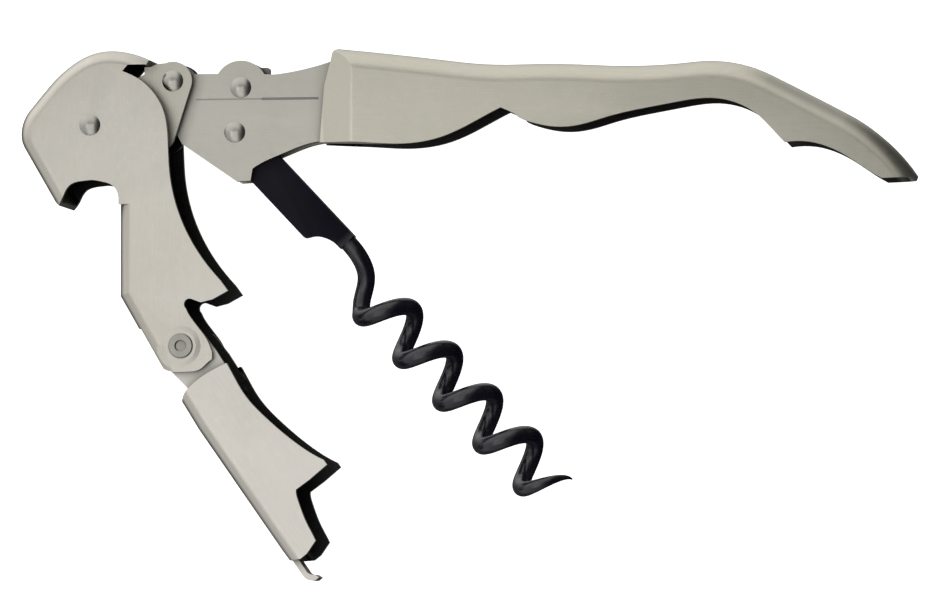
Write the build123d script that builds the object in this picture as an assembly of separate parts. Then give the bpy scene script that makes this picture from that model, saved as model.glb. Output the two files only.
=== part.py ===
"""Double-lever waiter's corkscrew: satin steel handle, folding worm, foil knife and two-step lever.

The model is drawn about the lever pivot: the pivot is x = y = 0, z = 0 is the mid-plane between the two
cheeks, +X runs along the handle towards its tail and +Z is across the thickness. At the end everything is
moved so that the origin is at the centre of the base, with the object lying on its side.
"""
from build123d import *
from math import cos, sin, radians, pi
import os

os.makedirs("parts", exist_ok=True)

# ---- driving dimensions, millimetres ----
SHEET = 0.85                   # stainless sheet of the handle cover and the lever shells
LEVER_HALF = 6.7               # half the outside width of the lever shells
COVER_HALF = 5.55              # half the outside width of the handle cover
BEND_LEVER = 2.0               # outside bend radius of the lever shells
BEND_COVER = 2.8               # outside bend radius of the handle cover
GAP_HALF = 1.45                # half the gap between the two cheeks
CHEEK = 1.2                    # cheek plate thickness
CHEEK_OUT = GAP_HALF + CHEEK
EAR_IN = 3.25                  # inner face of the lever's bracket plates
EAR = 0.8                      # bracket plate thickness
EAR_OUT = EAR_IN + EAR
NEST_OUT = 5.75                # outer face of the foot's ears, nested inside the lever shell
NEST_IN = NEST_OUT - SHEET

PIN_R = 1.2                    # rivet shanks
PIN_FIT = 0.02                 # radial gap where a rivet is fast
PIN_RUN = 0.05                 # radial gap where a part turns on a rivet
HEAD_R = 1.6                   # rivet heads
HEAD_H = 0.45
BOSS_H = 0.15                  # raised ring round the foot's rivet

LEVER_PIVOT = (0.0, 0.0)
HEAD_RIVET = (-12.1, -6.7)
KNIFE_PIVOT = (10.1, -1.0)
WORM_PIVOT = (9.2, -7.7)
FOOT_PIVOT = (1.8, -39.9)

WORM_ANGLE = -46.68            # direction of the worm from its pivot, degrees
WORM_OFFSET = -2.16            # helix axis, sideways from the line through the pivot
WIRE_R = 1.32
HELIX_R = 3.2                  # radius of the wire's centre line
PITCH = 8.81
HELIX_START = 33.03            # distance from the pivot to the first low turn of the helix
FULL_TURNS = 3.93              # turns of full wire after that
TIP_TURNS = 0.565              # then the wire runs out to its point
TIP_R = 0.12
TANG_HALF = 1.4                # half the thickness of the worm's tang

KNIFE_HALF = 0.6               # half the thickness of the knife blade


def slab(outline, low, high):
    """Outline in the plane z = 0, made solid from z = low to z = high."""
    return extrude(Pos(0, 0, low) * outline, high - low, dir=(0, 0, 1))


def disc(centre, radius, low, high):
    return slab(Pos(*centre) * Circle(radius), low, high)


def both_sides(solid):
    """The solid and its mirror image across the mid-plane."""
    return [solid, mirror(solid, Plane.XY)]


def dome(centre, radius, height, base):
    """Low round rivet head that stands on z = base."""
    ball = (radius * radius + height * height) / (2 * height)
    cap = Pos(centre[0], centre[1], base + height - ball) * Sphere(ball)
    return cap & disc(centre, radius, base, base + 2 * height)


def rivet(centre, reach):
    """Solid rivet: a shank right through and a low dome on both ends, the heads standing on +-reach."""
    shank = disc(centre, PIN_R, -reach, reach)
    heads = both_sides(dome(centre, HEAD_R, HEAD_H, reach))
    return shank + heads[0] + heads[1]


def tube(centre, outer, inner, low, high):
    return disc(centre, outer, low, high) - disc(centre, inner, low - 1, high + 1)


def closed(*edges):
    return make_face(Wire(edges))


# ---- handle ----

def arc_chain(start, heading, ends):
    """Arcs through the given points, each one leaving in the direction in which the last one ended."""
    line = []
    for end in ends:
        line.append(TangentArc(start, end, tangent=heading))
        heading = line[-1] % 1
        start = end
    return line


def run_on(line, length):
    """Straight continuation of a line of edges, from its last point."""
    return Line(line[-1] @ 1, line[-1] @ 1 + (line[-1] % 1) * length)


def cover_top():
    """Top line of the handle, from the front corner to the tail."""
    ends = ((43.4, 2.4), (52.0, 1.93), (64.0, 1.68), (78.5, 2.0), (90.0, -0.1), (101.5, -6.1),
            (111.3, -15.0))
    return arc_chain((25.3, 4.55), (1, -0.105), ends)


def cover_outline():
    """Side view of the handle, with its two finger grooves and the hooked tail."""
    top = cover_top()
    tail = Polyline((111.3, -15.0), (110.9, -15.6), (106.6, -15.75))
    tail_belly = Spline((106.6, -15.75), (101.2, -12.3), (96.6, -10.4), (92.2, -10.3),
                        tangents=((-0.9, 0.45), (-1, -0.15)))
    groove_rear = Spline((92.2, -10.3), (87.6, -5.7), (82.0, -3.65), (75.2, -4.3), (66.0, -6.15),
                         (57.0, -7.5), (52.4, -6.1), (49.8, -4.65), tangents=((-0.7, 0.7), (-0.85, 0.35)))
    groove_front = Spline((49.8, -4.65), (45.3, -7.0), (40.7, -9.0), (34.6, -9.9), (28.0, -9.55),
                          (22.2, -9.4), tangents=((-0.85, -0.4), (-1, 0.05)))
    front = Line((22.2, -9.4), (22.9, -1.0))
    shoulder = Line((22.9, -1.0), (24.1, 3.4))
    corner = ThreePointArc((24.1, 3.4), (24.4, 4.2), (25.3, 4.55))
    return closed(*top, *tail.edges(), tail_belly, groove_rear, groove_front, front, shoulder, corner)


def plan_outline(half, front_half, flare):
    """Top view of the handle: narrow where it grips the cheeks, then full width."""
    side = [(20.0, front_half), (22.7, front_half), (22.7 + flare, half), (114.0, half)]
    points = side + [(x, -z) for x, z in reversed(side)]
    sketch = make_face(Polyline(*points, close=True))
    bends = [v for v in sketch.vertices() if 22.0 < v.X < 23.0 + flare]
    return fillet(bends, 1.6)


def bent_blank(outline, half, radius, is_bend):
    """Slab of full width whose long edges, the ones that pass is_bend, are rounded on both sides."""
    blank = slab(outline, -half, half)
    bends = [e for e in blank.edges() if abs(abs(e.center().Z) - half) < 0.01 and is_bend(e)]
    return fillet(bends, radius)


def channel(side, half, bend, is_bend):
    """U-shaped channel of sheet metal: a web along the bent edge of side and two flat walls."""
    outside = bent_blank(side, half, bend, is_bend)
    inside = bent_blank(offset(side, -SHEET), half - SHEET, bend - SHEET, is_bend)
    return outside, inside


def handle_cover():
    """Handle cover, one bent sheet: round-cornered back, open below, slotted for the knife."""
    top = cover_top()
    tail = run_on(top, 4.0)
    around = Polyline(tail @ 1, (114.0, -32.0), (15.3, -32.0), (15.3, 5.6), (25.3, 4.55))
    side = closed(*top, tail, *around.edges())

    def is_back(edge):
        place = edge.center()
        return place.Y > -18.5 and 16.5 < place.X < 113.2

    outside, inside = channel(side, COVER_HALF, BEND_COVER, is_back)
    plan_axes = Plane(origin=(0, -40, 0), x_dir=(1, 0, 0), z_dir=(0, 1, 0))
    upwards = (0, 1, 0)
    outside &= extrude(plan_axes * plan_outline(COVER_HALF, CHEEK_OUT + 0.75, 4.5), 60, dir=upwards)
    inside &= extrude(plan_axes * plan_outline(COVER_HALF - SHEET, CHEEK_OUT, 4.5), 60, dir=upwards)
    shell = (outside - inside) & slab(cover_outline(), -COVER_HALF, COVER_HALF)
    knife_slot = Pos(37.5, 3.5, 0) * Box(33.0, 6.0, 2 * GAP_HALF)
    return shell - knife_slot


def cheek_outline():
    """One cheek: nose round the lever pivot, round ear for the knife rivet, belly for the worm rivet."""
    rest = closed(
        Line((-1.9, 2.1), (0.0, 1.1)), Line((0.0, 1.1), (6.0, 1.1)), Line((6.0, 1.1), (15.3, 0.9)),
        Spline((15.3, 0.9), (19.8, 1.65), (23.6, 2.7)), Line((23.6, 2.7), (33.0, 2.3)),
        Line((33.0, 2.3), (33.0, -9.4)), Line((33.0, -9.4), (22.2, -9.2)),
        Spline((22.2, -9.2), (16.4, -11.0), (11.9, -13.2), tangents=((-1, -0.1), (-0.8, -0.6))),
        Line((11.9, -13.2), (11.6, -15.0)), Line((11.6, -15.0), (9.5, -15.1)),
        Line((9.5, -15.1), (1.2, -9.4)), Line((1.2, -9.4), (-2.4, -3.0)), Line((-2.4, -3.0), (-1.9, 2.1)))
    nose = Pos(*LEVER_PIVOT) * Circle(2.7)
    ear = Pos(*KNIFE_PIVOT) * Circle(4.05)
    return rest + nose + ear


def cheek(low, high):
    plate = slab(cheek_outline(), low, high)
    for centre in (LEVER_PIVOT, KNIFE_PIVOT, WORM_PIVOT):
        plate -= disc(centre, PIN_R + PIN_FIT, low - 1, high + 1)
    slit = Pos(17.6, -2.75, (low + high) / 2) * Box(8.6, 0.34, high - low + 1)
    outer = max(low, high, key=abs)
    scribed = Pos(8.5, -2.75, outer) * Box(10.4, 0.2, 0.16)
    return plate - slit - scribed


def back_spring():
    """Short leaf between the knife and the worm, held by long tabs in slits in the cheeks."""
    leaf = Pos(17.5, -2.75, 0) * Box(9.0, 0.28, 2 * (GAP_HALF - 0.05))
    tabs = Pos(17.6, -2.75, 0) * Box(8.52, 0.28, 2 * CHEEK_OUT - 0.1)
    return leaf + tabs


# ---- worm ----

def worm_frame():
    """Plane at the worm's pivot: x along the worm, y across it, z as the object's z."""
    angle = radians(WORM_ANGLE)
    return Plane(origin=(*WORM_PIVOT, 0), x_dir=(cos(angle), sin(angle), 0), z_dir=(0, 0, 1))


def worm_tang():
    """Flat tang: round about the pivot, then a square-edged block with a step on its lower side."""
    upper = Polyline((0, -2.4), (0, 2.25), (23.6, 2.25), (23.6, -0.55))
    step = Spline((23.6, -0.55), (22.1, -0.65), (20.4, -1.35), (19.0, -2.7), tangents=((-1, 0), (-0.5, -1)))
    lower = Polyline((19.0, -2.7), (18.6, -3.35), (2.6, -3.35), (0, -2.4))
    block = closed(*upper.edges(), step, *lower.edges())
    outline = block + Circle(2.9)
    blank = slab(outline, -TANG_HALF, TANG_HALF)
    return blank - disc((0, 0), PIN_R + PIN_RUN, -3, 3)


def helix_point(turn):
    """Point of the wire's centre line; the worm winds the left-hand way."""
    angle = 2 * pi * turn
    return Vector(HELIX_START + PITCH * turn, WORM_OFFSET - HELIX_R * cos(angle), HELIX_R * sin(angle))


def helix_direction(turn):
    angle = 2 * pi * turn
    return Vector(PITCH, 2 * pi * HELIX_R * sin(angle), 2 * pi * HELIX_R * cos(angle)).normalized()


def helix_line(first, turns):
    """Centre line of the helix from the turn called first, over the given number of turns."""
    start = helix_point(first)
    outwards = Vector(0, start.Y - WORM_OFFSET, start.Z)
    axes = Plane(origin=(start.X, WORM_OFFSET, 0), x_dir=outwards, z_dir=(1, 0, 0))
    return axes * Helix(pitch=PITCH, height=PITCH * turns, radius=HELIX_R, lefthand=True)


def wire_section(turn, radius):
    across = helix_direction(turn).cross(Vector(1, 0, 0))
    return Plane(origin=helix_point(turn), x_dir=across, z_dir=helix_direction(turn)) * Circle(radius)


def worm_wire():
    """Shank that swings out to the helix, the helix itself, and the stretch that runs in to the tip."""
    first = -0.05
    shoulder = (21.5, 0.85, 0)
    swing = ((24.0, 0.85, 0), (25.4, 0.75, -0.05), (27.2, 0.3, -0.6), (29.0, -0.82, -1.6),
             (30.1, -2.3, -2.1), (31.2, -3.9, -1.9))
    lead = Spline(shoulder, *swing, helix_point(first), tangents=((1, 0, 0), helix_direction(first)))
    shank = sweep(Plane(origin=shoulder, x_dir=(0, 1, 0), z_dir=(1, 0, 0)) * Circle(WIRE_R), path=lead)
    coil = sweep(wire_section(first, WIRE_R), path=helix_line(first, FULL_TURNS - first), is_frenet=True)
    taper = [wire_section(FULL_TURNS + TIP_TURNS * part, WIRE_R + (TIP_R - WIRE_R) * part ** 1.5)
             for part in (0, 0.35, 0.7, 1)]
    tip = sweep(taper, path=helix_line(FULL_TURNS, TIP_TURNS), multisection=True, is_frenet=True)
    return shank + coil + tip


def worm():
    return worm_frame() * (worm_tang() + worm_wire())


# ---- foil knife ----

def knife():
    """Short serrated blade, folded into the top of the handle, with a thumb catch on its back."""
    tang = Pos(*KNIFE_PIVOT) * Circle(3.0)
    point = Spline((50.5, 1.0), (46.5, -0.9), (40.0, -2.0), tangents=((-0.6, -0.8), (-1, -0.1)))
    around = Polyline((40.0, -2.0), (12.0, -2.45), (9.0, -2.45), (9.0, 0.9), (50.5, 1.0))
    blade = closed(point, *around.edges())
    catch = Pos(13.3, 1.35) * Rectangle(1.7, 1.5)
    catch = fillet(catch.vertices().group_by(Axis.Y)[-1], 0.4)
    solid = slab(tang + blade + catch, -KNIFE_HALF, KNIFE_HALF)
    tooth = 1.6
    for index in range(13):
        x = 18.6 + tooth * index
        solid -= disc((x, -2.95 + 0.012 * index), 0.72, -KNIFE_HALF - 1, KNIFE_HALF + 1)
    return solid - disc(KNIFE_PIVOT, PIN_R + PIN_RUN, -3, 3)


# ---- lever ----

def head_line(length):
    """Back of the round head, from the slot at the front, and then the beak's straight back."""
    ends = ((-8.4, 4.5), (-14.1, 3.15), (-18.6, -0.7), (-21.6, -4.3), (-22.9, -8.0), (-22.35, -10.0))
    head = arc_chain((-3.4, 3.1), (-1, 0.5), ends)
    return head + [run_on(head, length)]


def lever_outline():
    """Side view of the upper lever: round head with the cap-lifter beak, then the arm and its step."""
    back = head_line(9.2)
    beak_end = Polyline(back[-1] @ 1, (-16.95, -18.7), (-16.2, -17.4))
    mouth = Spline((-16.2, -17.4), (-14.9, -15.5), (-12.6, -15.0), (-9.6, -15.35),
                   tangents=((0.4, 1), (1, -0.25)))
    mouth_side = Spline((-9.6, -15.35), (-8.1, -16.4), (-7.7, -18.6), tangents=((1, -0.25), (0, -1)))
    arm_back = Polyline((-7.7, -18.6), (-7.7, -32.3), (-1.95, -42.3))
    lobe = Spline((-1.95, -42.3), (-0.2, -43.6), (2.6, -43.75), (4.75, -43.35), (6.2, -42.1), (6.5, -40.8),
                  tangents=((0.6, -0.9), (-0.1, 1)))
    shin = Spline((6.5, -40.8), (5.75, -39.0), (4.65, -37.45), (3.45, -35.9), (2.55, -34.3),
                  tangents=((-0.35, 1), (-0.4, 1)))
    notch = ThreePointArc((2.55, -34.3), (2.35, -33.3), (3.3, -32.85))
    step = Polyline((3.3, -32.85), (4.8, -33.4), (6.6, -32.95), (8.9, -31.7), (7.8, -30.2))
    inner = Spline((7.8, -30.2), (5.5, -27.5), (3.0, -23.6), (1.1, -19.1), (0.0, -13.9), (-0.3, -8.6),
                   (-1.3, -3.8), (-3.4, -0.9), (-7.2, 1.35), tangents=((-0.7, 0.75), (-0.9, 0.35)))
    slot = Polyline((-7.2, 1.35), (-6.4, 2.3), (-3.6, 2.35), (-3.4, 3.1))
    return closed(*back, *beak_end.edges(), mouth, mouth_side, *arm_back.edges(), lobe, shin, notch,
                  *step.edges(), inner, *slot.edges())


def head_channel():
    """Round head of the upper lever and the back of the beak."""
    back = head_line(20.0)
    around = Polyline(back[-1] @ 1, (30.0, -27.6), (30.0, -3.0), (0.6, -3.0), (0.6, 1.1), (-3.4, 3.1))
    side = closed(*back, *around.edges())

    def is_back(edge):
        place = edge.center()
        return place.X < -0.5 and place.Y > -26

    outside, inside = channel(side, LEVER_HALF, BEND_LEVER, is_back)
    return outside - inside


def arm_channel():
    """Straight arm of the upper lever, bent once towards the hinge."""
    corners = ((-7.7, -12.0), (-7.7, -32.3), (0.925, -47.3), (30.0, -47.3), (30.0, -12.0))
    side = make_face(Polyline(*corners, close=True))

    def is_back(edge):
        place = edge.center()
        return place.X < 0.2 and -45 < place.Y < -13

    outside, inside = channel(side, LEVER_HALF, BEND_LEVER, is_back)
    return outside - inside


def lever_shell():
    """Upper lever, one bent sheet: back and head are closed, the mouth and the worm's side are open."""
    outline = lever_outline()
    arm_place = Pos(21.2, -33.6) * Rectangle(60, 30)
    head = head_channel() & slab(outline - arm_place, -LEVER_HALF, LEVER_HALF)
    arm = arm_channel() & slab(outline & arm_place, -LEVER_HALF, LEVER_HALF)
    boss = Pos(FOOT_PIVOT[0], FOOT_PIVOT[1], LEVER_HALF) * Cone(3.7, 2.3, 2 * BOSS_H)
    shell = head + arm
    for side in both_sides(boss):
        shell += side
    window = Pos(0.0, -43.6) * Rectangle(24.0, 12.8)
    shell -= slab(window, SHEET - LEVER_HALF, LEVER_HALF - SHEET)
    shell -= disc(HEAD_RIVET, PIN_R + PIN_FIT, -10, 10)
    shell -= disc(FOOT_PIVOT, PIN_R + PIN_FIT, -10, 10)
    return shell


def bracket_plate():
    """Flat link from the head rivet to the lever pivot, inside the upper lever."""
    corners = ((LEVER_PIVOT, 2.9), (HEAD_RIVET, 3.2), ((-1.6, -8.3), 1.9))
    circles = [Pos(*centre) * Circle(radius) for centre, radius in corners]
    outline = make_hull([edge for circle in circles for edge in circle.edges()])
    nib = ((-4.3, 2.1), (-3.4, 2.1), (-2.4, 2.55), (-1.0, 2.7), (0, 0), (-4.3, 0))
    outline += make_face(Polyline(*nib, close=True))
    plate = slab(outline, EAR_IN, EAR_OUT)
    plate -= disc(LEVER_PIVOT, PIN_R + PIN_RUN, 0, 10)
    return plate - disc(HEAD_RIVET, PIN_R + PIN_FIT, 0, 10)


# ---- foot ----

def foot_outline():
    """Side view of the lower lever, from its shoulder below the hinge to the wall ends."""
    back = Polyline((2.2, -47.1), (1.7, -48.2), (4.3, -52.4), (16.9, -70.4), (17.95, -71.9))
    end = Polyline((17.95, -71.9), (19.9, -71.7), (20.9, -70.9), (22.2, -69.0))
    shin = Spline((22.2, -69.0), (20.9, -66.5), (19.5, -62.9), (19.25, -61.4),
                  tangents=((-0.4, 0.9), (0.1, 1)))
    step = Polyline((19.25, -61.4), (21.3, -59.9), (23.9, -57.7), (23.4, -57.0))
    inner = Spline((23.4, -57.0), (19.8, -54.9), (15.0, -51.0), (11.5, -47.3), (8.7, -42.5),
                   tangents=((-0.9, 0.4), (-0.5, 0.85)))
    shoulder = Spline((8.7, -42.5), (6.4, -43.65), (4.1, -45.15), (3.1, -46.05), (2.2, -47.1),
                      tangents=((-0.9, -0.4), (-0.5, -0.85)))
    return closed(*back.edges(), *end.edges(), shin, *step.edges(), inner, shoulder)


def foot_ear():
    """Ear that carries the hinge rivet, set in by one sheet so that it nests in the upper lever."""
    round_end = Pos(*FOOT_PIVOT) * Circle(2.7)
    corners = ((2.0, -37.9), (4.4, -37.3), (6.05, -39.4), (7.0, -40.6), (8.35, -42.7), (9.6, -44.5),
               (7.0, -48.0), (3.9, -48.0), (2.5, -46.0), (1.5, -45.0), (-0.1, -43.4), (-0.5, -41.5))
    cheek = make_face(Polyline(*corners, close=True))
    cheek = fillet(cheek.vertices().group_by(Axis.Y)[-1], 1.2)
    plate = slab(round_end + cheek, NEST_IN, NEST_OUT)
    bend = ((8.8, -44.4), (5.9, -45.5), (4.2, -47.2), (5.0, -48.6), (9.6, -46.2))
    joggle = make_face(Polyline(*bend, close=True))
    return plate + slab(joggle, NEST_IN, LEVER_HALF - 0.5)


def toe():
    """Narrow tongue at the end of the foot's back, curled forward."""
    outer = Polyline((15.8, -68.82), (19.45, -74.04))
    inner = Polyline((19.95, -73.3), (16.5, -68.35), (15.8, -68.82))
    curl = ThreePointArc((19.45, -74.04), (20.3, -74.75), (21.4, -74.8))
    end = Polyline((21.4, -74.8), (21.95, -74.35), (21.3, -73.95))
    hollow = ThreePointArc((21.3, -73.95), (20.6, -73.9), (19.95, -73.3))
    return slab(closed(*outer.edges(), curl, *end.edges(), hollow, *inner.edges()), -2.0, 2.0)


def foot_shell():
    """Lower lever, one bent sheet: closed back, open towards the worm, with a step and a curled toe."""
    side = make_face(Polyline((-2.0, -41.6), (1.7, -48.2), (4.3, -52.4), (16.9, -70.4), (20.8, -75.6),
                              (24.0, -78.0), (40.0, -78.0), (40.0, -41.6), close=True))

    def is_back(edge):
        place = edge.center()
        return place.X < 19.5 and -78 < place.Y < -42

    outside, inside = channel(side, LEVER_HALF, BEND_LEVER, is_back)
    shell = (outside - inside) & slab(foot_outline(), -LEVER_HALF, LEVER_HALF)
    shell += toe()
    for ear in both_sides(foot_ear()):
        shell += ear
    return shell - disc(FOOT_PIVOT, PIN_R + PIN_RUN, -10, 10)


def foot_spring():
    """Leaf on the back of the upper lever that bears on the hinge bush."""
    corners = ((-6.75, -20.0), (-6.75, -31.6), (-3.1, -37.6), (-0.85, -40.4), (-0.4, -40.1), (-2.65, -37.3),
               (-6.25, -31.4), (-6.25, -20.0))
    return slab(make_face(Polyline(*corners, close=True)), -2.5, 2.5)


def foot_rivet():
    """Tubular rivet, flared at both ends."""
    low = LEVER_HALF + BOSS_H
    reach = low + 0.22
    body = disc(FOOT_PIVOT, PIN_R, -reach, reach)
    rim = disc(FOOT_PIVOT, 1.85, low, reach)
    rim = chamfer(rim.edges().group_by(Axis.Z)[-1], 0.15)
    for head in both_sides(rim):
        body += head
    cup = Pos(FOOT_PIVOT[0], FOOT_PIVOT[1], reach) * Cone(0.7, 1.1, 0.3)
    for hollow in both_sides(cup):
        body -= hollow
    return body


# ---- the assembly ----

def build():
    side_bushes = both_sides(tube(HEAD_RIVET, 2.2, PIN_R + PIN_FIT, EAR_OUT, LEVER_HALF - SHEET))
    pivot_washers = both_sides(tube(LEVER_PIVOT, 2.3, PIN_R + PIN_RUN, CHEEK_OUT + 0.03, EAR_IN - 0.03))
    knife_washers = both_sides(tube(KNIFE_PIVOT, 2.5, PIN_R + PIN_FIT, KNIFE_HALF + 0.05, GAP_HALF))
    return {
        "handle_cover": handle_cover(),
        "front_cheek": cheek(GAP_HALF, CHEEK_OUT),
        "rear_cheek": cheek(-CHEEK_OUT, -GAP_HALF),
        "back_spring": back_spring(),
        "lever_pivot_rivet": rivet(LEVER_PIVOT, EAR_OUT),
        "pivot_spacer": tube(LEVER_PIVOT, 2.3, PIN_R + PIN_FIT, -GAP_HALF, GAP_HALF),
        "pivot_washers": Compound(pivot_washers),
        "knife_rivet": rivet(KNIFE_PIVOT, CHEEK_OUT),
        "knife_washers": Compound(knife_washers),
        "foil_knife": knife(),
        "worm_rivet": rivet(WORM_PIVOT, CHEEK_OUT),
        "worm": worm(),
        "lever_shell": lever_shell(),
        "front_bracket": bracket_plate(),
        "rear_bracket": mirror(bracket_plate(), Plane.XY),
        "head_rivet": rivet(HEAD_RIVET, LEVER_HALF),
        "head_bush": tube(HEAD_RIVET, 2.2, PIN_R + PIN_FIT, -EAR_IN, EAR_IN),
        "head_side_bushes": Compound(side_bushes),
        "foot_shell": foot_shell(),
        "foot_rivet": foot_rivet(),
        "foot_bush": tube(FOOT_PIVOT, 2.0, PIN_R + PIN_FIT, -NEST_IN + 0.05, NEST_IN - 0.05),
        "foot_spring": foot_spring(),
    }


def main():
    pieces = build()
    boxes = [piece.bounding_box() for piece in pieces.values()]
    low = Vector(*(min(getattr(b.min, a) for b in boxes) for a in "XYZ"))
    high = Vector(*(max(getattr(b.max, a) for b in boxes) for a in "XYZ"))
    shift = Vector(-(low.X + high.X) / 2, -(low.Y + high.Y) / 2, -low.Z)
    print("moved by", [round(value, 4) for value in shift])
    print("size", [round(value, 3) for value in high - low])
    for node, piece in pieces.items():
        export_step(Pos(shift) * piece, f"parts/{node}.step")


main()
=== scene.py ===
"""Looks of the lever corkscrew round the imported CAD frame: satin steel, black worm, white studio."""
from math import pi, radians

import bpy
from mathutils import Matrix, Vector

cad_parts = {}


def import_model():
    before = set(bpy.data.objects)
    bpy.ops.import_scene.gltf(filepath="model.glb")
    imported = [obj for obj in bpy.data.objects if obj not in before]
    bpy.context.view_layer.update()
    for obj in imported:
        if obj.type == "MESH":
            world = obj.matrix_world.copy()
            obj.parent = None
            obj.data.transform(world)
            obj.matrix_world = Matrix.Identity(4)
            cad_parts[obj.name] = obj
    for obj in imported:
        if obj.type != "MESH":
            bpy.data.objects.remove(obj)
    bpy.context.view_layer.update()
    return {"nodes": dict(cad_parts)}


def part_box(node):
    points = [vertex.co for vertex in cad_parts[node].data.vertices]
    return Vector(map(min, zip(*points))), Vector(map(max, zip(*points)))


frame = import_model()

MM = 0.001


def centre(node):
    """Centre of a node's box, in metres."""
    low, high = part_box(node)
    return (Vector(low) + Vector(high)) / 2


# Places given in millimetres are measured from the lever pivot, on the mid-plane.
PIVOT = centre("lever_pivot_rivet")
WORM_ANGLE = radians(46.68)    # the worm points this far below the x axis
WIRE_START = (22.5, 24.5)      # the tang gives way to the wire here, millimetres from the worm's pivot
WALL_DEPTH = (1.8, 2.8)        # inner faces of side walls are at least this far from the mid-plane

CEILING = 0.25                 # brightness straight above, past the softbox
SOFTBOX = 0.77                 # brightness of the softbox
CAMERA_SIDE = (0.146, -0.055, 1.0)     # direction from the object to the camera
CAMERA_AIM = (45.18, -33.17)   # middle of the view, millimetres
CAMERA_DISTANCE = 1.130
SENSOR = 36.0
LENS = 286.9                   # long lens, millimetres


# ---- node helpers ----

class Tree:
    """Short hand for building a node tree."""

    def __init__(self, tree):
        self.tree = tree

    def add(self, kind, **settings):
        node = self.tree.nodes.new(kind)
        for key, value in settings.items():
            setattr(node, key, value)
        return node

    def link(self, source, target):
        self.tree.links.new(source, target)

    def put(self, socket, value):
        """Link the socket to another one, or set it to a plain value."""
        if isinstance(value, bpy.types.NodeSocket):
            self.link(value, socket)
        else:
            socket.default_value = value

    def axis(self, source, name):
        node = self.add("ShaderNodeSeparateXYZ")
        self.link(source, node.inputs["Vector"])
        return node.outputs[name]

    def span(self, source, low, high, to_low, to_high, smooth=False):
        """Map the range low to high onto to_low to to_high, clamped at both ends."""
        node = self.add("ShaderNodeMapRange", interpolation_type="SMOOTHSTEP" if smooth else "LINEAR")
        self.link(source, node.inputs["Value"])
        for key, value in (("From Min", low), ("From Max", high), ("To Min", to_low), ("To Max", to_high)):
            node.inputs[key].default_value = value
        return node.outputs["Result"]

    def math(self, operation, a, b):
        node = self.add("ShaderNodeMath", operation=operation)
        self.put(node.inputs[0], a)
        self.put(node.inputs[1], b)
        return node.outputs[0]

    def mix(self, factor, a, b, kind="RGBA"):
        node = self.add("ShaderNodeMix", data_type=kind)
        self.put(node.inputs["Factor"], factor)
        self.put(node.inputs["A"], a)
        self.put(node.inputs["B"], b)
        return node.outputs["Result"]


class Surface(Tree):
    """Material with one Principled shader and the inputs that its textures start from."""

    def __init__(self, name):
        self.material = bpy.data.materials.new(name)
        self.material.use_nodes = True
        super().__init__(self.material.node_tree)
        self.tree.nodes.clear()
        out = self.add("ShaderNodeOutputMaterial")
        self.shader = self.add("ShaderNodeBsdfPrincipled")
        self.link(self.shader.outputs["BSDF"], out.inputs["Surface"])
        self.place = self.add("ShaderNodeTexCoord").outputs["Object"]
        self.geometry = self.add("ShaderNodeNewGeometry").outputs

    def set(self, **values):
        """Set the shader's inputs; an underscore in a key stands for a space."""
        for key, value in values.items():
            self.put(self.shader.inputs[key.replace("_", " ")], value)

    def mapping(self, source, scale=(1, 1, 1), turn=0.0):
        """Coordinates turned about the z axis and then scaled."""
        node = self.add("ShaderNodeMapping")
        node.inputs["Scale"].default_value = scale
        node.inputs["Rotation"].default_value = (0, 0, turn)
        self.link(source, node.inputs["Vector"])
        return node.outputs["Vector"]

    def noise(self, source, scale, detail=3.0, rough=0.5):
        node = self.add("ShaderNodeTexNoise")
        self.link(source, node.inputs["Vector"])
        for key, value in (("Scale", scale), ("Detail", detail), ("Roughness", rough)):
            node.inputs[key].default_value = value
        return node.outputs["Fac"]

    def bump(self, height, strength, distance, before=None):
        node = self.add("ShaderNodeBump")
        self.link(height, node.inputs["Height"])
        node.inputs["Strength"].default_value = strength
        node.inputs["Distance"].default_value = distance
        if before is not None:
            self.link(before, node.inputs["Normal"])
        return node.outputs["Normal"]

    def curvature(self):
        """Above 0.5 on outside edges, 0.5 on flats, below 0.5 in corners."""
        return self.geometry["Pointiness"]

    def inside(self):
        """1 on the inner faces of the channels' side walls, 0 on everything that faces outward."""
        depth = self.math("SUBTRACT", self.axis(self.place, "Z"), PIVOT.z)
        facing = self.math("MULTIPLY", depth, self.axis(self.geometry["Normal"], "Z"))
        return self.span(facing, -WALL_DEPTH[0] * MM, -WALL_DEPTH[1] * MM, 0.0, 1.0)

    def occlusion(self, distance):
        """1 in the open, towards 0 where other surfaces are closer than the distance."""
        node = self.add("ShaderNodeAmbientOcclusion", samples=6)
        node.inputs["Distance"].default_value = distance
        return node.outputs["AO"]


def shade(colour, factor):
    """Colour made lighter or darker, as a colour socket takes it."""
    return tuple(min(1.0, part * factor) for part in colour) + (1.0,)


# ---- materials ----

SHORT_SCRATCHES = (900, 26000, 26000)      # noise cells per metre along and across the brushing
LONG_SCRATCHES = (220, 9000, 9000)
# Reach of the painted shade in corners and between parts.
PAINTED_SHADE_REACH = 2.2 * MM
# Black painted onto the channels' inner walls as their shade.
CHANNEL_SHADE_BLACK = (0.035, 0.034, 0.033, 1.0)


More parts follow.
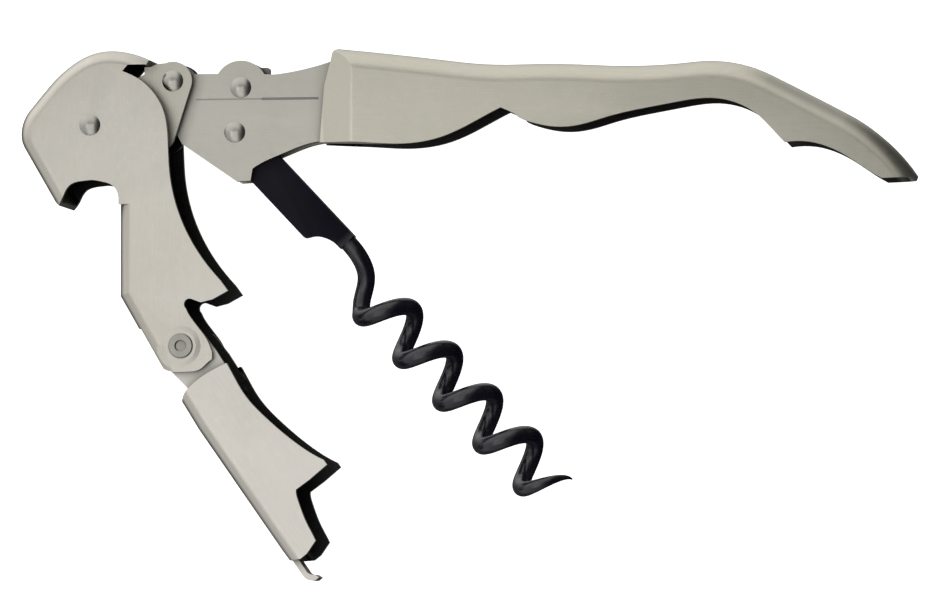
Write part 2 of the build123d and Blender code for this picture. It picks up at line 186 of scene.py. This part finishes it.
def steel_colour(surface, colour, scratches):
    """Base colour: streaks, clouds, painted edge highlight, painted shade in corners, creases and
    channels.
    """
    warm = tuple(min(1.0, part * 1.05 + tint) for part, tint in zip(colour, (0.02, 0.0, -0.02))) + (1.0,)
    tone = surface.mix(surface.span(scratches, 0.3, 0.7, 0.0, 1.0), shade(colour, 0.95), warm)
    cloud = surface.noise(surface.place, 70.0)
    tone = surface.mix(surface.span(cloud, 0.35, 0.65, 0.0, 0.35), tone, shade(colour, 0.93))
    # Painted highlight: outside edges lighter.
    tone = surface.mix(surface.span(surface.curvature(), 0.5, 0.6, 0.0, 0.35), tone, shade(colour, 1.2))
    # Painted shade: darker where other surfaces come close, in corners and between parts.
    corner_shade = surface.span(surface.occlusion(PAINTED_SHADE_REACH), 0.42, 0.97, 0.85, 0.0)
    tone = surface.mix(corner_shade, tone, shade(colour, 0.22))
    # Painted shade: darker in concave creases.
    crease_shade = surface.span(surface.curvature(), 0.40, 0.49, 0.6, 0.0)
    tone = surface.mix(crease_shade, tone, shade(colour, 0.45))
    # Painted shade: the inner faces of the channels' side walls turn black.
    return surface.mix(surface.inside(), tone, CHANNEL_SHADE_BLACK)


def brushed(name, colour, angle, rough=0.33, relief=0.12):
    """Steel brushed along one direction in the XY plane, given in degrees."""
    surface = Surface(name)
    along = surface.mapping(surface.place, turn=-radians(angle))
    short = surface.noise(surface.mapping(along, scale=SHORT_SCRATCHES), 1.0, 2.0, 0.6)
    long = surface.noise(surface.mapping(along, scale=LONG_SCRATCHES), 1.0, 3.0, 0.55)
    dust = surface.noise(surface.place, 900.0, 2.0, 0.6)
    dull = surface.span(short, 0.3, 0.7, rough - 0.06, rough + 0.07)
    fine_relief = surface.bump(short, relief, 0.04 * MM)
    surface.set(Base_Color=steel_colour(surface, colour, long),
                Roughness=surface.math("ADD", dull, surface.span(dust, 0.3, 0.7, -0.02, 0.03)),
                Metallic=1.0,
                Anisotropic=0.35,
                Normal=surface.bump(long, relief * 0.6, 0.05 * MM, fine_relief))
    return surface.material


def coated(name):
    """Black coating: satin on the flat tang, glossy on the wire, with a painted sheen lighter on the
    crests.
    """
    surface = Surface(name)
    turned = surface.axis(surface.mapping(surface.place, turn=WORM_ANGLE), "X")
    pivot = (Matrix.Rotation(WORM_ANGLE, 3, "Z") @ centre("worm_rivet")).x
    wire = surface.span(turned, pivot + WIRE_START[0] * MM, pivot + WIRE_START[1] * MM, 0.0, 1.0)
    cloud = surface.span(surface.noise(surface.place, 160.0), 0.35, 0.65, 0.0, 1.0)
    black = surface.mix(cloud, (0.0035, 0.003, 0.0085, 1.0), (0.0065, 0.006, 0.013, 1.0))
    # Painted sheen: crests of the wire a little lighter.
    crest_sheen = surface.span(surface.curvature(), 0.52, 0.62, 0.0, 0.35)
    satin = surface.span(surface.noise(surface.place, 2600.0, 2.0, 0.6), 0.3, 0.7, 0.34, 0.5)
    surface.set(Base_Color=surface.mix(crest_sheen, black, (0.03, 0.03, 0.036, 1.0)),
                Roughness=surface.math("SUBTRACT", satin, surface.math("MULTIPLY", wire, 0.18)),
                Specular_IOR_Level=surface.span(wire, 0.0, 1.0, 0.06, 0.75),
                Metallic=0.0,
                Normal=surface.bump(surface.noise(surface.place, 700.0, 2.0, 0.5), 0.08, 0.1 * MM))
    return surface.material


def paper():
    """White paper with a faint grain, lit through so that shadows on it stay faint."""
    surface = Surface("paper")
    grain = surface.span(surface.noise(surface.place, 400.0), 0.3, 0.7, 0.0, 1.0)
    surface.set(Base_Color=surface.mix(grain, (0.9, 0.9, 0.9, 1), (0.93, 0.93, 0.93, 1)),
                Roughness=0.9,
                Emission_Color=(1, 1, 1, 1),
                Emission_Strength=1.0)
    return surface.material


PLATE_STEEL = brushed("plate_steel", (0.50, 0.485, 0.44), -8, rough=0.36)
EAR_STEEL = brushed("ear_steel", (0.49, 0.48, 0.42), -85, rough=0.36)
RIVET_STEEL = brushed("rivet_steel", (0.44, 0.43, 0.40), 30, rough=0.24, relief=0.05)
BUSH_STEEL = brushed("bush_steel", (0.32, 0.32, 0.31), 90, rough=0.3)
SPRING_STEEL = brushed("spring_steel", (0.24, 0.24, 0.24), 0, rough=0.35)

FINISH = {
    # The three shells are one steel; the handle's darker and the foot's lighter base colour are painted
    # shade and painted light.
    "handle_cover": brushed("handle_steel", (0.545, 0.53, 0.46), -2),
    "lever_shell": brushed("lever_steel", (0.575, 0.555, 0.505), -88),
    "foot_shell": brushed("foot_steel", (0.60, 0.58, 0.54), -55),
    "front_cheek": PLATE_STEEL,
    "rear_cheek": PLATE_STEEL,
    "front_bracket": EAR_STEEL,
    "rear_bracket": EAR_STEEL,
    "back_spring": SPRING_STEEL,
    "foot_spring": SPRING_STEEL,
    "foil_knife": brushed("blade_steel", (0.30, 0.30, 0.29), 0, rough=0.3),
    "foot_rivet": brushed("flare_steel", (0.38, 0.37, 0.345), 20, rough=0.4, relief=0.08),
    "worm": coated("worm_black"),
}


def finish(node):
    """Material of a node: its own, or else the one of all rivets or of all bushes and washers."""
    if node in FINISH:
        return FINISH[node]
    return RIVET_STEEL if node.endswith("rivet") else BUSH_STEEL


for node, piece in frame["nodes"].items():
    piece.data.materials.clear()
    piece.data.materials.append(finish(node))


# ---- studio ----

def floor():
    """Plain pale sheet that the object lies on; reflections don't see it."""
    half = 1.2
    mesh = bpy.data.meshes.new("floor")
    corners = [(-half, -half, 0), (half, -half, 0), (half, half, 0), (-half, half, 0)]
    mesh.from_pydata(corners, [], [(0, 1, 2, 3)])
    mesh.materials.append(paper())
    piece = bpy.data.objects.new("floor", mesh)
    bpy.context.collection.objects.link(piece)
    piece.location = (0, 0, -0.2 * MM)
    piece.visible_glossy = False


def softbox(spot, size):
    """Rectangular soft light that shines straight down and that the camera doesn't see."""
    light = bpy.data.lights.new("softbox", "AREA")
    light.shape = "RECTANGLE"
    light.size, light.size_y = size
    light.energy = SOFTBOX * pi * size[0] * size[1]
    piece = bpy.data.objects.new("softbox", light)
    bpy.context.collection.objects.link(piece)
    piece.location = spot
    piece.rotation_euler = Vector((0, 0, -1)).to_track_quat("-Z", "Y").to_euler()
    piece.visible_camera = False


def world():
    """Studio tent as reflections see it: bright to the back and the left, dark to the right."""
    sky = bpy.data.worlds.new("studio")
    sky.use_nodes = True
    tree = Tree(sky.node_tree)
    direction = tree.add("ShaderNodeTexCoord").outputs["Generated"]

    def fade(axis, start, end, low, high):
        return tree.span(tree.axis(direction, axis), start, end, low, high, smooth=True)

    walls = tree.math("ADD", fade("Y", -0.3, 0.8, 0.42, 1.12), fade("X", -0.9, -0.2, 0.25, 0.0))
    walls = tree.math("MULTIPLY", walls, fade("X", 0.1, 0.55, 1.0, 0.06))
    shadow = tree.math("MULTIPLY", fade("Z", -0.5, -0.05, 1.0, 0.0), fade("Y", 0.2, 0.8, 0.85, 0.1))
    walls = tree.math("MULTIPLY", walls, tree.math("SUBTRACT", 1.0, shadow))
    left = fade("X", -0.55, -0.3, 0.74, CEILING)
    back = fade("Y", 0.15, 0.45, CEILING, 0.78)
    overhead = tree.math("MAXIMUM", left, back)
    light = tree.mix(fade("Z", 0.78, 0.96, 0.0, 1.0), walls, overhead, kind="FLOAT")
    background = sky.node_tree.nodes["Background"]
    tree.link(light, background.inputs["Strength"])
    background.inputs["Color"].default_value = (1.0, 1.0, 0.985, 1)
    bpy.context.scene.world = sky


def camera():
    """Long lens a little to the right of straight above, as the object was seen."""
    toward = Vector(CAMERA_SIDE).normalized()
    right = Vector((0, 1, 0)).cross(toward).normalized()
    up = toward.cross(right)
    aim = PIVOT + Vector((*CAMERA_AIM, 0)) * MM
    data = bpy.data.cameras.new("camera")
    data.sensor_width = SENSOR
    data.lens = LENS
    data.clip_end = 10
    piece = bpy.data.objects.new("camera", data)
    bpy.context.collection.objects.link(piece)
    axes = Matrix((right, up, toward)).transposed().to_4x4()
    piece.matrix_world = Matrix.Translation(aim + toward * CAMERA_DISTANCE) @ axes
    bpy.context.scene.camera = piece


floor()
world()
softbox((-0.09, -0.09, 0.26), (0.21, 0.33))
camera()
bpy.context.scene.view_settings.view_transform = "Standard"
